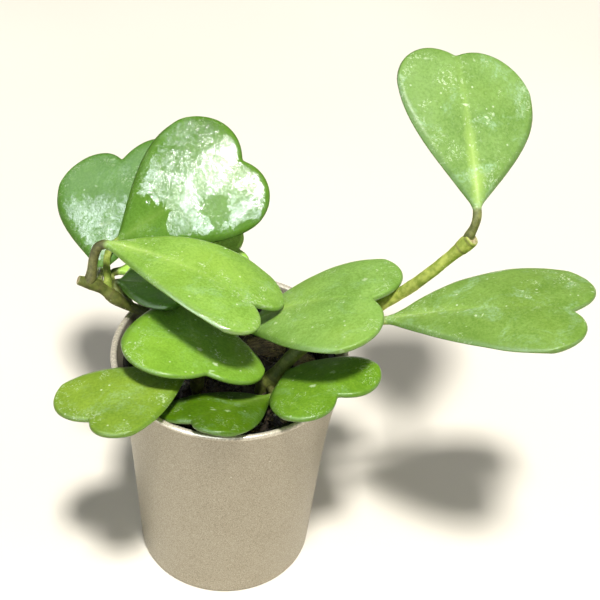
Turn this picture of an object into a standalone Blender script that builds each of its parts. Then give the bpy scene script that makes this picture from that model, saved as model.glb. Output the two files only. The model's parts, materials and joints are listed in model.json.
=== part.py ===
"""A potted heart-leaf hoya: a flared cover pot, a nursery pot of soil inside it, and a small
climbing plant with thick heart-shaped leaves on three stems.

Lengths are in metres and +Z is up.  The origin is the centre of the cover pot's foot, on the
surface that it stands on.  The stems and leaves are placed in millimetres, which mm() converts.
"""
import math

import bmesh
import bpy
import numpy as np

CLEARANCE = 0.0003          # gap between pieces that touch

# Cover pot: a straight taper that flares out close to the rim
POT_HEIGHT = 0.113
POT_FOOT_RADIUS = 0.0385
POT_TAPER = 0.058           # radius gained for each unit of height
POT_FLARE = 0.0049          # extra radius at the rim
POT_FLARE_POWER = 5
POT_WALL = 0.0026
POT_FLOOR = 0.004
POT_FOOT_ROUND = 0.0012
POT_FLOOR_RADIUS = 0.0341
POT_WALL_START = 0.006      # height where the inner wall leaves the floor
POT_WALL_RINGS = 7
POT_SIDES = 48

# Nursery pot: thin plastic with a folded lip, on the cover pot's floor
NURSERY_HEIGHT = 0.103
NURSERY_FOOT_RADIUS = 0.0325
NURSERY_BODY_RADIUS = 0.0414
NURSERY_LIP_RADIUS = 0.0447
NURSERY_LIP_HEIGHT = 0.005
NURSERY_LIP_TURN = 0.003    # width of the lip's flat top
NURSERY_FOOT_ROUND = 0.001
NURSERY_MIDDLE = 0.05       # height of the ring half way up the wall
NURSERY_WALL = 0.0012
NURSERY_SIDES = 40
DRAIN_HOLES = 6
DRAIN_HOLE_RADIUS = 0.0035
DRAIN_RING_RADIUS = 0.022
DRAIN_RING_TURN = 5         # degrees

# Soil: the height of its top and of the bumps on it
SOIL_TOP = 0.096
SOIL_BUMP = 0.0014
SOIL_RINGS = 6

# Leaf blades
BLADE_THICKNESS = 0.0026
BLADE_STATIONS = (0.045, 0.12, 0.22, 0.35, 0.5, 0.66, 0.81, 0.93, 1.0)
LEAF_SIDES = 24
PETIOLE_RINGS = 4
NOTCH_SOFTNESS = 0.0008
CUP_HALF_WIDTH = 0.025      # distance from the midrib at which cup and curl are stated
STALK_SHARE = 0.2           # share of the blade over which the stalk flattens into it
RIM_SHARE = 0.85            # share of the blade where the rim starts to thin
TAPER_START = 0.25          # share of the half width over which a tapered left side sets in

# Stems
STEM_SIDES = 12
STEM_STEP = 0.004           # distance between the rings of a stem
NODE_SWELL = 0.0009         # a stem is this much thicker at a leaf node
NODE_REACH = 0.0045

# Each stem: the points that its axis passes through, its radius at both ends, its leaf nodes
STEMS = {
    "stem_left": dict(
        points=((-20, 14, 74), (-20, 14, 96), (-25, 15.5, 107), (-34, 16, 114.5),
                (-44, 15, 120), (-50, 14, 125), (-57, 14, 131), (-64.5, 12.5, 134.5)),
        radii=(2.7, 1.8), nodes=((-26, 15.5, 108), (-50, 14, 125), (-59, 13.6, 131.9))),
    "stem_right": dict(
        points=((14, -5, 74), (14, -5, 97), (18.5, -5, 104), (25.5, -4.5, 116.5), (35, -3.5, 127),
                (49, 1.5, 134), (62.3, 3.2, 144.3), (70.2, 1.8, 153.2), (77.5, 0.5, 163),
                (84, 1, 171), (89.5, 1.5, 178), (91.5, 1, 181)),
        radii=(3.2, 2.2), nodes=((18, -5, 103), (55.3, 2.4, 138.9), (89.5, 1.5, 178))),
    "stem_back": dict(
        points=((-4, 14, 74), (-4, 14, 96), (-3, 15.5, 107), (-1, 15, 114.5), (2, 12.5, 121)),
        radii=(2.6, 1.9), nodes=((1, 13.5, 119),)),
    "stem_front": dict(
        points=((-13, -8, 74), (-13, -8, 94), (-13, -8, 101), (-12, -7, 106)),
        radii=(2.4, 2.0), nodes=((-13, -8, 101),)),
}

# Each leaf: its stem, the point on the stem's axis that its petiole grows from, and the base of
# its blade, in mm.  heading, pitch and roll turn the blade; droop bends it down along its
# length, cup bends its sides down, curl adds cup towards the tip and twist turns the tip, all
# in degrees.  length, width and notch are in mm.  fullness rounds the sides near the base,
# uneven makes one half wider, skew leads one lobe and sweep rounds the petiole's bend.
LEAF_DEFAULTS = dict(petiole=1.7, droop=0, cup=6, curl=0, twist=0, fullness=1.5, uneven=0,
                     skew=0, taper=0, sweep=0.4)
LEAVES = {
    "leaf_top_right": dict(
        stem="stem_right", foot=(89.5, 1.5, 178), base=(92, 5, 192), heading=101, pitch=41,
        roll=13, length=66, width=58, notch=3, droop=13, cup=4, curl=2, uneven=-0.09, skew=0.06),
    "leaf_far_right": dict(
        stem="stem_right", foot=(55.3, 2.4, 138.9), base=(61, -14, 149), heading=-8, pitch=26,
        roll=0, length=80, width=60, notch=8, droop=20, cup=3, curl=6, twist=-10, fullness=1.75,
        uneven=0.12, skew=0.1),
    "leaf_centre_right": dict(
        stem="stem_back", foot=(1, 13.5, 119), base=(4.8, 3, 122.8), petiole=1.5, heading=-8,
        pitch=49, roll=-5, length=69, width=62, notch=9, droop=43, cup=3, curl=2,
        fullness=1.6, uneven=-0.05, skew=0.06, sweep=0.2),
    "leaf_centre_top": dict(
        stem="stem_left", foot=(-60.5, 13.3, 132.5), base=(-52.8, 16, 151.8), petiole=2.0,
        heading=-24.2, pitch=13.9, roll=0, length=77, width=56.4, notch=10.8, droop=35.7,
        cup=5, curl=5, twist=-17.7, fullness=1.7, uneven=0.19, skew=0.06, taper=0.14),
    "leaf_back": dict(
        stem="stem_left", foot=(-53.2, 14, 127.8), base=(-51.5, 34.3, 139), petiole=1.5,
        heading=26, pitch=28, roll=37, length=66.5, width=58.5, notch=4, droop=2, cup=5, curl=3,
        twist=-8, uneven=0.08, skew=-0.02),
    "leaf_back_left": dict(
        stem="stem_left", foot=(-57, 14, 131), base=(-57.6, 26, 129), heading=86, pitch=26,
        roll=-14, length=59, width=55.5, notch=7, droop=-4, cup=4, curl=-5, twist=-4,
        fullness=1.7, uneven=0.05, skew=-0.24),
    "leaf_back_shaded": dict(
        stem="stem_left", foot=(-44, 15, 120), base=(-52, 35, 121.6), heading=13, pitch=8.5,
        roll=4, length=56.5, width=38, notch=4, fullness=2.1, uneven=0.14),
    "leaf_under": dict(
        stem="stem_left", foot=(-48, 14.3, 123.4), base=(-49.2, 19.4, 129.2), petiole=1.4, heading=-4,
        pitch=5, roll=0, length=30, width=41, notch=3, cup=2, fullness=2.4, uneven=0.27),
    "leaf_front_left": dict(
        stem="stem_left", foot=(-26, 15.5, 108), base=(-23, 23.5, 122.7), heading=-74, pitch=3,
        roll=-19, length=59, width=60, notch=4, droop=-5, cup=8, twist=3, fullness=1.45,
        uneven=-0.06),
    "leaf_low_left": dict(
        stem="stem_front", foot=(-13, -8, 102), base=(-15.5, -16, 116.5), heading=223,
        pitch=7, roll=9, length=53, width=48, notch=4.5, droop=12, cup=-3, twist=5,
        fullness=1.54, uneven=-0.14, skew=-0.13),
    "leaf_low_centre": dict(
        stem="stem_right", foot=(17, -5, 101), base=(17.9, -15.4, 103), petiole=1.5,
        heading=225.6, pitch=20.8, roll=2, length=48, width=40.6, notch=4.2, droop=5, cup=4.5,
        curl=2, twist=20.7, fullness=1.53, uneven=-0.07, skew=-0.03),
    "leaf_low_right": dict(
        stem="stem_right", foot=(18, -5, 103), base=(24, -5, 108), petiole=1.5, heading=-61,
        pitch=46, roll=15, length=47.5, width=48, notch=6.5, droop=44, cup=0, twist=-9),
}

# Coir husk chunks, half sunk in the soil: centre and half sizes in mm, turn in degrees
CHUNKS = {
    "husk_chunk_large": dict(centre=(14, 20, 97), half=(10, 6, 5), turn=20, seed=3),
    "husk_chunk_small": dict(centre=(31, 12, 97), half=(5, 4, 4), turn=-15, seed=8),
}
CHUNK_ROUGHNESS = 0.14

# Colours (linear RGB), roughness and metallic of each kind of piece
FINISHES = {
    "pot": ((0.50, 0.42, 0.31), 0.40, 0.35),
    "plastic": ((0.012, 0.012, 0.012), 0.35, 0.0),
    "soil": ((0.035, 0.022, 0.013), 0.95, 0.0),
    "husk": ((0.13, 0.085, 0.045), 0.95, 0.0),
    "stem": ((0.12, 0.16, 0.045), 0.55, 0.0),
    "leaf": ((0.11, 0.27, 0.035), 0.38, 0.0),
}


def mm(point):
    """A point given in millimetres, in metres."""
    return np.array(point, dtype=float) * 0.001


def clear_scene():
    for thing in list(bpy.data.objects):
        bpy.data.objects.remove(thing, do_unlink=True)


def finish(name, kind):
    """A Principled material of the given kind."""
    colour, roughness, metallic = FINISHES[kind]
    material = bpy.data.materials.new(name)
    material.use_nodes = True
    shader = material.node_tree.nodes["Principled BSDF"]
    shader.inputs["Base Color"].default_value = (*colour, 1.0)
    shader.inputs["Roughness"].default_value = roughness
    shader.inputs["Metallic"].default_value = metallic
    return material


def loft(name, rings, kind, start_cap=True, end_cap=True, smooth_angle=40):
    """A closed body through rings of equal size.  A flattened last ring closes on itself."""
    sides = len(rings[0])
    vertices = [tuple(point) for ring in rings for point in ring]
    faces = []
    for step in range(len(rings) - 1):
        for side in range(sides):
            after = (side + 1) % sides
            low, high = step * sides, (step + 1) * sides
            faces.append((low + side, low + after, high + after, high + side))
    last = (len(rings) - 1) * sides
    if start_cap:
        faces.append(tuple(range(sides - 1, -1, -1)))
    if end_cap:
        faces.append(tuple(range(last, last + sides)))
    return add_mesh(name, vertices, faces, kind, smooth_angle)


def add_mesh(name, vertices, faces, kind, smooth_angle=40):
    """An object from vertices and faces, with its material and smooth shading."""
    mesh = bpy.data.meshes.new(name)
    mesh.from_pydata(vertices, [], faces)
    body = bmesh.new()
    body.from_mesh(mesh)
    bmesh.ops.recalc_face_normals(body, faces=body.faces)
    body.to_mesh(mesh)
    body.free()
    mesh.materials.append(finish(name, kind))
    mesh.shade_smooth()
    mesh.set_sharp_from_angle(angle=math.radians(smooth_angle))
    thing = bpy.data.objects.new(name, mesh)
    bpy.context.collection.objects.link(thing)
    return thing


def turned(name, profile, sides, kind):
    """A body turned about Z from a profile of (radius, height) that starts and ends on the axis."""
    vertices = [(0, 0, profile[0][1])]
    for radius, height in profile[1:-1]:
        for side in range(sides):
            angle = 2 * math.pi * side / sides
            vertices.append((radius * math.cos(angle), radius * math.sin(angle), height))
    vertices.append((0, 0, profile[-1][1]))
    top = len(vertices) - 1
    faces = []
    for side in range(sides):
        after = (side + 1) % sides
        faces.append((0, 1 + after, 1 + side))
        for ring in range(len(profile) - 3):
            low, high = 1 + ring * sides, 1 + (ring + 1) * sides
            faces.append((low + side, low + after, high + after, high + side))
        last = 1 + (len(profile) - 3) * sides
        faces.append((top, last + side, last + after))
    return add_mesh(name, vertices, faces, kind, smooth_angle=50)


def cut(thing, cutter):
    """Cuts the cutter's shape out of a thing, and keeps the cutter as a hidden guide."""
    modifier = thing.modifiers.new("cut_" + cutter.name, "BOOLEAN")
    modifier.operation = "DIFFERENCE"
    modifier.solver = "EXACT"
    modifier.object = cutter
    cutter.hide_render = True
    cutter.display_type = "WIRE"


# ---- pots ----

def pot_radius(height):
    """The cover pot's outer radius at a height."""
    flare = POT_FLARE * (height / POT_HEIGHT) ** POT_FLARE_POWER
    return POT_FOOT_RADIUS + POT_TAPER * height + flare


def arc(centre, radius, start, end, steps):
    """Points of an arc in the (radius, height) plane, angles in degrees."""
    points = []
    for step in range(steps + 1):
        angle = math.radians(start + (end - start) * step / steps)
        points.append((centre[0] + radius * math.cos(angle), centre[1] + radius * math.sin(angle)))
    return points


def make_cover_pot():
    lip = POT_WALL / 2
    crest = POT_HEIGHT - lip
    foot_centre = (pot_radius(0) - POT_FOOT_ROUND, POT_FOOT_ROUND)
    heights = np.linspace(POT_WALL_START, crest, POT_WALL_RINGS)
    profile = [(0, 0)]
    profile += arc(foot_centre, POT_FOOT_ROUND, -90, 0, 3)
    profile += [(pot_radius(height), height) for height in heights]
    profile += arc((pot_radius(crest) - lip, crest), lip, 36, 144, 3)
    profile += [(pot_radius(height) - POT_WALL, height) for height in heights[::-1]]
    profile += [(POT_FLOOR_RADIUS, POT_FLOOR), (0, POT_FLOOR)]
    return turned("cover_pot", profile, POT_SIDES, "pot")


def nursery_radius(height):
    """The nursery pot's outer radius at a height above its own foot."""
    gain = NURSERY_BODY_RADIUS - NURSERY_FOOT_RADIUS
    return NURSERY_FOOT_RADIUS + gain * height / NURSERY_HEIGHT


def make_nursery_pot():
    foot = POT_FLOOR + CLEARANCE
    top = foot + NURSERY_HEIGHT
    wall = NURSERY_WALL
    under_lip = NURSERY_HEIGHT - NURSERY_LIP_HEIGHT
    lip_crest = wall / 2
    profile = [(0, foot), (NURSERY_FOOT_RADIUS - NURSERY_FOOT_ROUND, foot)]
    profile += [(NURSERY_FOOT_RADIUS, foot + NURSERY_FOOT_ROUND)]
    profile += [(nursery_radius(height), foot + height) for height in (NURSERY_MIDDLE, under_lip)]
    profile += [(NURSERY_LIP_RADIUS, foot + under_lip + lip_crest)]
    profile += [(NURSERY_LIP_RADIUS, top - lip_crest)]
    profile += [(NURSERY_LIP_RADIUS - lip_crest, top)]
    profile += [(NURSERY_LIP_RADIUS - NURSERY_LIP_TURN, top)]
    profile += [(nursery_radius(under_lip) - wall, foot + under_lip - wall)]
    profile += [(nursery_radius(NURSERY_MIDDLE) - wall, foot + NURSERY_MIDDLE)]
    profile += [(NURSERY_FOOT_RADIUS - wall, foot + 2 * wall)]
    profile += [(NURSERY_FOOT_RADIUS - 2 * wall, foot + wall), (0, foot + wall)]
    pot = turned("nursery_pot", profile, NURSERY_SIDES, "plastic")
    for hole in range(DRAIN_HOLES):
        angle = 2 * math.pi * hole / DRAIN_HOLES + math.radians(DRAIN_RING_TURN)
        bpy.ops.mesh.primitive_cylinder_add(
            vertices=16, radius=DRAIN_HOLE_RADIUS, depth=0.006,
            location=(DRAIN_RING_RADIUS * math.cos(angle), DRAIN_RING_RADIUS * math.sin(angle),
                      foot + wall / 2))
        drill = bpy.context.object
        drill.name = f"drill_{hole + 1}"
        cut(pot, drill)
    return pot


# ---- stems ----

def smooth_path(points, step=STEM_STEP):
    """A Catmull-Rom curve through the points, read off at even steps."""
    points = [mm(point) for point in points]
    padded = [2 * points[0] - points[1]] + points + [2 * points[-1] - points[-2]]
    path = []
    for before, start, end, after in zip(padded, padded[1:], padded[2:], padded[3:]):
        count = max(1, round(float(np.linalg.norm(end - start)) / step))
        for index in range(count):
            t = index / count
            path.append(0.5 * (2 * start + (end - before) * t
                               + (2 * before - 5 * start + 4 * end - after) * t ** 2
                               + (3 * start - before - 3 * end + after) * t ** 3))
    path.append(points[-1])
    return np.array(path)


def path_frames(path):
    """Two directions square to the path at each of its points, turning as little as they can."""
    tangents = np.gradient(path, axis=0)
    tangents /= np.linalg.norm(tangents, axis=1)[:, None]
    side = np.cross(tangents[0], (0.0, 1.0, 0.0))
    frames = []
    for tangent in tangents:
        side = side - tangent * side.dot(tangent)
        side /= np.linalg.norm(side)
        frames.append((side, np.cross(tangent, side)))
    return frames


def tube_rings(path, radii, sides):
    rings = []
    for point, radius, (side, up) in zip(path, radii, path_frames(path)):
        ring = []
        for index in range(sides):
            angle = 2 * math.pi * index / sides
            ring.append(point + radius * (math.cos(angle) * side + math.sin(angle) * up))
        rings.append(ring)
    return rings


def stem_body(name, stem, grow=0.0):
    """A stem, or with grow the space that its neighbours leave for it."""
    path = smooth_path(stem["points"])
    thick, thin = (radius * 0.001 for radius in stem["radii"])
    radii = np.linspace(thick, thin, len(path))
    for node in stem["nodes"]:
        distance = np.linalg.norm(path - mm(node), axis=1)
        radii += NODE_SWELL * np.exp(-(distance / NODE_REACH) ** 2)
    radii += grow
    if grow:
        path[0] = path[0] - (0, 0, grow)
        path[-1] = path[-1] + grow * (path[-1] - path[-2]) / np.linalg.norm(path[-1] - path[-2])
    return loft(name, tube_rings(path, radii, STEM_SIDES), "stem")


# ---- leaves ----

def side_shape(share, fullness):
    """Half-width of a blade between its base (0) and its widest place (1)."""
    return (fullness * share + (3 - 2 * fullness) * share ** 2 + (fullness - 2) * share ** 3)


def tip_shape(y, half_width, length, notch):
    """How far a blade reaches at y: two round lobes that meet in a notch."""
    lobe_offset = math.sqrt(2 * half_width * notch) - notch
    lobe_radius = half_width - lobe_offset
    depth = math.sqrt(y * y + NOTCH_SOFTNESS ** 2) - lobe_offset
    return length - lobe_radius + math.sqrt(max(lobe_radius ** 2 - depth ** 2, 0.0))


def bend_blade(x, y, z, leaf):
    """Bends and twists a point of the flat blade, z being its height above the mid surface."""
    length = leaf["length"] * 0.001
    turn = math.radians(leaf["droop"]) / length
    angle = turn * x
    along, down = (math.sin(angle) / turn, (1 - math.cos(angle)) / turn) if turn else (x, 0.0)
    cup = math.radians(leaf["cup"] + leaf["curl"] * (x / length) ** 2) / CUP_HALF_WIDTH
    tilt = cup * y
    across, sink = (math.sin(tilt) / cup, (1 - math.cos(tilt)) / cup) if cup else (y, 0.0)
    across += z * math.sin(tilt)
    rise = z * math.cos(tilt) - sink
    twist = math.radians(leaf["twist"]) * x / length
    across, rise = (across * math.cos(twist) - rise * math.sin(twist),
                    across * math.sin(twist) + rise * math.cos(twist))
    return np.array((along + rise * math.sin(angle), across, rise * math.cos(angle) - down))


def blade_axes(leaf):
    """The blade's directions: along it, to its left and up from its face."""
    heading, pitch, roll = (math.radians(leaf[key]) for key in ("heading", "pitch", "roll"))
    along = np.array((math.cos(heading) * math.cos(pitch), math.sin(heading) * math.cos(pitch),
                      math.sin(pitch)))
    level = np.array((-math.sin(heading), math.cos(heading), 0.0))
    above = np.cross(along, level)
    left = level * math.cos(roll) + above * math.sin(roll)
    up = above * math.cos(roll) - level * math.sin(roll)
    return along, left, up


def blade_rings(leaf):
    """Rings across the blade from its base to its tip; the last one is its rim."""
    length, width, notch = (leaf[key] * 0.001 for key in ("length", "width", "notch"))
    axes = np.array(blade_axes(leaf))
    stalk = leaf["petiole"] * 0.001
    rings = []
    for share in BLADE_STATIONS:
        ring = []
        flatness = min(1.0, share / STALK_SHARE)
        thickness = stalk + (BLADE_THICKNESS / 2 - stalk) * flatness
        thinning = max(0.0, (share - RIM_SHARE) / (1 - RIM_SHARE))
        thickness *= 0.45 + 0.55 * math.sqrt(1 - thinning ** 2)
        for index in range(LEAF_SIDES):
            angle = 2 * math.pi * index / LEAF_SIDES
            across = math.cos(angle)
            half = width / 2 * (1 + leaf["uneven"] * np.sign(across))
            y_rim = half * across
            reach = tip_shape(y_rim, half, length, notch)
            x = share * reach
            y = across * math.hypot(half * side_shape(share, leaf["fullness"]), stalk)
            y *= 1 - leaf["taper"] * min(1.0, max(0.0, across / TAPER_START)) * share ** 3
            x += leaf["skew"] * y * x / length
            z = math.copysign(abs(math.sin(angle)) ** (1 - 0.45 * flatness), math.sin(angle))
            ring.append(bend_blade(x, y, z * thickness, leaf) @ axes + mm(leaf["base"]))
        rings.append(ring)
    return rings


def petiole_rings(leaf):
    """Rings of the stalk, from the stem's axis to the base of the blade."""
    along, left, up = blade_axes(leaf)
    foot, base = mm(leaf["foot"]), mm(leaf["base"])
    reach = leaf["sweep"] * np.linalg.norm(base - foot)
    first, second = foot + 0.35 * (base - foot), base - reach * along
    path = []
    for index in range(PETIOLE_RINGS + 1):
        t = index / PETIOLE_RINGS
        path.append((1 - t) ** 3 * foot + 3 * t * (1 - t) ** 2 * first
                    + 3 * t * t * (1 - t) * second + t ** 3 * base)
    path = np.array(path)
    tangents = np.gradient(path, axis=0)
    tangents[-1] = along
    rings = []
    side = left
    for point, tangent in zip(path[::-1], tangents[::-1]):
        tangent = tangent / np.linalg.norm(tangent)
        side = side - tangent * side.dot(tangent)
        side = side / np.linalg.norm(side)
        above = np.cross(tangent, side)
        ring = []
        for index in range(LEAF_SIDES):
            angle = 2 * math.pi * index / LEAF_SIDES
            offset = math.cos(angle) * side + math.sin(angle) * above
            ring.append(point + leaf["petiole"] * 0.001 * offset)
        rings.append(ring)
    return rings[::-1]


def make_leaf(name, leaf, stem_space):
    """One leaf: petiole and blade in one body, with its foot fitted round its stem."""
    rings = petiole_rings(leaf) + blade_rings(leaf)
    thing = loft(name, rings, "leaf", end_cap=False, smooth_angle=70)
    body = bmesh.new()
    body.from_mesh(thing.data)
    body.verts.ensure_lookup_table()
    first = (len(rings) - 1) * LEAF_SIDES
    half = LEAF_SIDES // 2
    for index in range(half):
        upper = (first + index, first + index + 1)
        lower = (first + (LEAF_SIDES - index - 1) % LEAF_SIDES,
                 first + (LEAF_SIDES - index) % LEAF_SIDES)
        corners = dict.fromkeys((upper[0], upper[1], lower[0], lower[1]))
        body.faces.new([body.verts[corner] for corner in corners])
    bmesh.ops.recalc_face_normals(body, faces=body.faces)
    body.to_mesh(thing.data)
    body.free()
    cut(thing, stem_space)
    return thing


# ---- soil and what lies in it ----

def soil_height(x, y):
    """The soil's top, with a few soft bumps."""
    bumps = (math.sin(310 * x + 0.6) * math.cos(270 * y - 0.4)
             + 0.6 * math.sin(520 * x - 410 * y + 1.3) + 0.4 * math.cos(690 * y + 350 * x))
    return SOIL_TOP + SOIL_BUMP * bumps


def make_soil():
    foot = POT_FLOOR + CLEARANCE + NURSERY_WALL + CLEARANCE
    gap = NURSERY_WALL + CLEARANCE
    bottom = NURSERY_FOOT_RADIUS - 2 * NURSERY_WALL - CLEARANCE
    rim = nursery_radius(SOIL_TOP - POT_FLOOR) - gap - CLEARANCE
    vertices = [(0, 0, foot)]
    middle = POT_FLOOR + CLEARANCE + NURSERY_MIDDLE
    rows = [(bottom, foot), (nursery_radius(NURSERY_MIDDLE) - gap, middle)]
    for radius, height in rows:
        for side in range(NURSERY_SIDES):
            angle = 2 * math.pi * side / NURSERY_SIDES
            vertices.append((radius * math.cos(angle), radius * math.sin(angle), height))
    for ring in range(SOIL_RINGS):
        radius = rim * (1 - ring / SOIL_RINGS)
        for side in range(NURSERY_SIDES):
            angle = 2 * math.pi * side / NURSERY_SIDES
            x, y = radius * math.cos(angle), radius * math.sin(angle)
            vertices.append((x, y, soil_height(x, y)))
    vertices.append((0, 0, soil_height(0, 0)))
    faces = []
    count = len(rows) + SOIL_RINGS
    for side in range(NURSERY_SIDES):
        after = (side + 1) % NURSERY_SIDES
        faces.append((0, 1 + after, 1 + side))
        for ring in range(count - 1):
            low, high = 1 + ring * NURSERY_SIDES, 1 + (ring + 1) * NURSERY_SIDES
            faces.append((low + side, low + after, high + after, high + side))
        last = 1 + (count - 1) * NURSERY_SIDES
        faces.append((len(vertices) - 1, last + side, last + after))
    return add_mesh("soil", vertices, faces, "soil")


def make_chunk(name, chunk, grow=0.0):
    """A lump of coir husk: a squashed ball with a seeded rough surface."""
    random = np.random.default_rng(chunk["seed"])
    waves = random.uniform(-1, 1, (5, 3)) * 3.2
    phases = random.uniform(0, 2 * math.pi, 5)
    body = bmesh.new()
    bmesh.ops.create_icosphere(body, subdivisions=2, radius=1.0)
    turn = math.radians(chunk["turn"])
    for vertex in body.verts:
        direction = np.array(vertex.co)
        bump = 1 + CHUNK_ROUGHNESS * np.sin(waves @ direction + phases).mean() * 2
        x, y, z = direction * bump * (mm(chunk["half"]) + grow)
        vertex.co = (x * math.cos(turn) - y * math.sin(turn) + chunk["centre"][0] * 0.001,
                     x * math.sin(turn) + y * math.cos(turn) + chunk["centre"][1] * 0.001,
                     z + chunk["centre"][2] * 0.001)
    mesh = bpy.data.meshes.new(name)
    body.to_mesh(mesh)
    body.free()
    mesh.materials.append(finish(name, "husk"))
    mesh.shade_smooth()
    thing = bpy.data.objects.new(name, mesh)
    bpy.context.collection.objects.link(thing)
    return thing


def main():
    clear_scene()
    make_cover_pot()
    make_nursery_pot()
    soil = make_soil()
    spaces = {}
    for name, stem in STEMS.items():
        stem_body(name, stem)
        spaces[name] = stem_body(name + "_space", stem, grow=CLEARANCE)
        cut(soil, spaces[name])
    for name, chunk in CHUNKS.items():
        make_chunk(name, chunk)
        cut(soil, make_chunk(name + "_space", chunk, grow=CLEARANCE))
    for name, leaf in LEAVES.items():
        leaf = {**LEAF_DEFAULTS, **leaf}
        make_leaf(name, leaf, spaces[leaf["stem"]])


main()
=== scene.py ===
"""Dresses the potted hoya: detailed leaves, stems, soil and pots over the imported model, with their
materials, a pale floor, studio light and the camera.

Lengths are in metres and +Z is up.  Stems, leaves and chunks are placed in millimetres, with the
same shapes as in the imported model.
"""
import json
import math

import bmesh
import bpy
import numpy as np
from mathutils import Matrix, Vector, noise

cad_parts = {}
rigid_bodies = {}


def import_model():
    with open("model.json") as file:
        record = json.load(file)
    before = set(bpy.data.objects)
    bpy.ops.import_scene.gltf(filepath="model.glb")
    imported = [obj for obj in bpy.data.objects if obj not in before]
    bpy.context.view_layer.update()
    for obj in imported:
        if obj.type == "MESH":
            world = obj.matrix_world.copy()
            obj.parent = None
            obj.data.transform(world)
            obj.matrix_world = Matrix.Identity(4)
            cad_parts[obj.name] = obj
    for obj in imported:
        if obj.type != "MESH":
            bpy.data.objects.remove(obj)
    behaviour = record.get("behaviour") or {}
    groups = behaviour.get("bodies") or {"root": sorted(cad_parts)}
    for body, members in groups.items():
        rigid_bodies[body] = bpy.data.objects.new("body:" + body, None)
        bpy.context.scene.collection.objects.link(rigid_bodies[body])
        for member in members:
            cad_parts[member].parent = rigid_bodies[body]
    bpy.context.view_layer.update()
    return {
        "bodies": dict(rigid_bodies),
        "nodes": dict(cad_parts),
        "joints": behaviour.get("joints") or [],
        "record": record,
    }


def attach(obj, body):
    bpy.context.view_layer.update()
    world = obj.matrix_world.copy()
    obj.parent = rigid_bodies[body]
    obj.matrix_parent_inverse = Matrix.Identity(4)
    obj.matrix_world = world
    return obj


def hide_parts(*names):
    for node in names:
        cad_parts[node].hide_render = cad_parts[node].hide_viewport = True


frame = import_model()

BODY = "root"

# ---- sizes and places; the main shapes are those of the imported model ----

POT_HEIGHT = 0.113
POT_FOOT_RADIUS = 0.0385
POT_TAPER = 0.058
POT_FLARE = 0.0049
POT_FLARE_POWER = 5
POT_WALL = 0.0026
POT_FLOOR = 0.004
POT_FOOT_ROUND = 0.0012
POT_FLOOR_RADIUS = 0.0341
POT_SIDES = 160
POT_RINGS = 44
RIM_BAND = (0.0022, 0.0008)  # below the top: where the glossy rim starts and where it is full

NURSERY_FOOT = 0.0043
NURSERY_HEIGHT = 0.103
NURSERY_FOOT_RADIUS = 0.0325
NURSERY_BODY_RADIUS = 0.0414
NURSERY_LIP_RADIUS = 0.0447
NURSERY_LIP_HEIGHT = 0.005
NURSERY_WALL = 0.0012
NURSERY_SIDES = 120
DRAIN_HOLES = 6
DRAIN_HOLE_RADIUS = 0.0035
DRAIN_RING_RADIUS = 0.022
DRAIN_RING_TURN = 5

SOIL_TOP = 0.096
SOIL_BUMP = 0.0014
SOIL_FOOT = 0.0058
SOIL_GAP = 0.0004
SOIL_WAIST = 0.05
SOIL_WAIST_IN_POT = 0.045  # above the nursery pot's foot, and low, to stay clear of its wall
SOIL_SIDES = 150
SOIL_RINGS = 62
GRAIN_REACH = 0.038
FIBRE_REACH = 0.036
FIBRE_SIDES = 5
ANY_TURN = 6.28  # a full turn, in radians

BLADE_THICKNESS = 0.0026
NOTCH_SOFTNESS = 0.0008
CUP_HALF_WIDTH = 0.025
STALK_SHARE = 0.2
EDGE_ROUND = 0.0017
TAPER_START = 0.25
BASE_SWELL = 0.35
BASE_SWELL_SHARE = 0.35
HOLD_SHARE = 0.12
CREASE_WIDTH = 0.0035
KEEL_HEIGHT = 0.0004
KEEL_WIDTH = 0.0016
MARGIN_WIDTH = 0.0045
RIM_FAR = 0.02
MERGE_DISTANCE = 0.00001

STEM_SIDES = 36
STEM_STEP = 0.0008
NODE_SWELL = 0.0009
NODE_LENGTH = 0.0045
SCAR_HEIGHT = 0.00012
SCAR_OFFSET = 0.0028
SCAR_LENGTH = 0.0005
# rings of a stem's cut end: share of its radius, distance beyond the end, share of pale heart
CUT_RINGS = ((0.86, 0.00025, 0.6), (0.5, 0.0001, 1.0))

# points, nodes: centres in millimetres; radii: at the foot and at the end; green: share of green
# in the bark, at the foot and at the end
STEMS = {
    "stem_left": dict(
        points=((-20, 14, 74), (-20, 14, 96), (-25, 15.5, 107), (-34, 16, 114.5),
                (-44, 15, 120), (-50, 14, 125), (-57, 14, 131), (-64.5, 12.5, 134.5)),
        radii=(2.7, 1.8), nodes=((-26, 15.5, 108), (-50, 14, 125), (-59, 13.6, 131.9)),
        green=(0.02, 0.22)),
    "stem_right": dict(
        points=((14, -5, 74), (14, -5, 97), (18.5, -5, 104), (25.5, -4.5, 116.5), (35, -3.5, 127),
                (49, 1.5, 134), (62.3, 3.2, 144.3), (70.2, 1.8, 153.2), (77.5, 0.5, 163),
                (84, 1, 171), (89.5, 1.5, 178), (91.5, 1, 181)),
        radii=(3.2, 2.2), nodes=((18, -5, 103), (55.3, 2.4, 138.9), (89.5, 1.5, 178)),
        green=(0.35, 1.15)),
    "stem_back": dict(
        points=((-4, 14, 74), (-4, 14, 96), (-3, 15.5, 107), (-1, 15, 114.5), (2, 12.5, 121)),
        radii=(2.6, 1.9), nodes=((1, 13.5, 119),), green=(0.1, 0.3)),
    "stem_front": dict(
        points=((-13, -8, 74), (-13, -8, 94), (-13, -8, 101), (-12, -7, 106)),
        radii=(2.4, 2.0), nodes=((-13, -8, 101),), green=(0.1, 0.2)),
}

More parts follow.
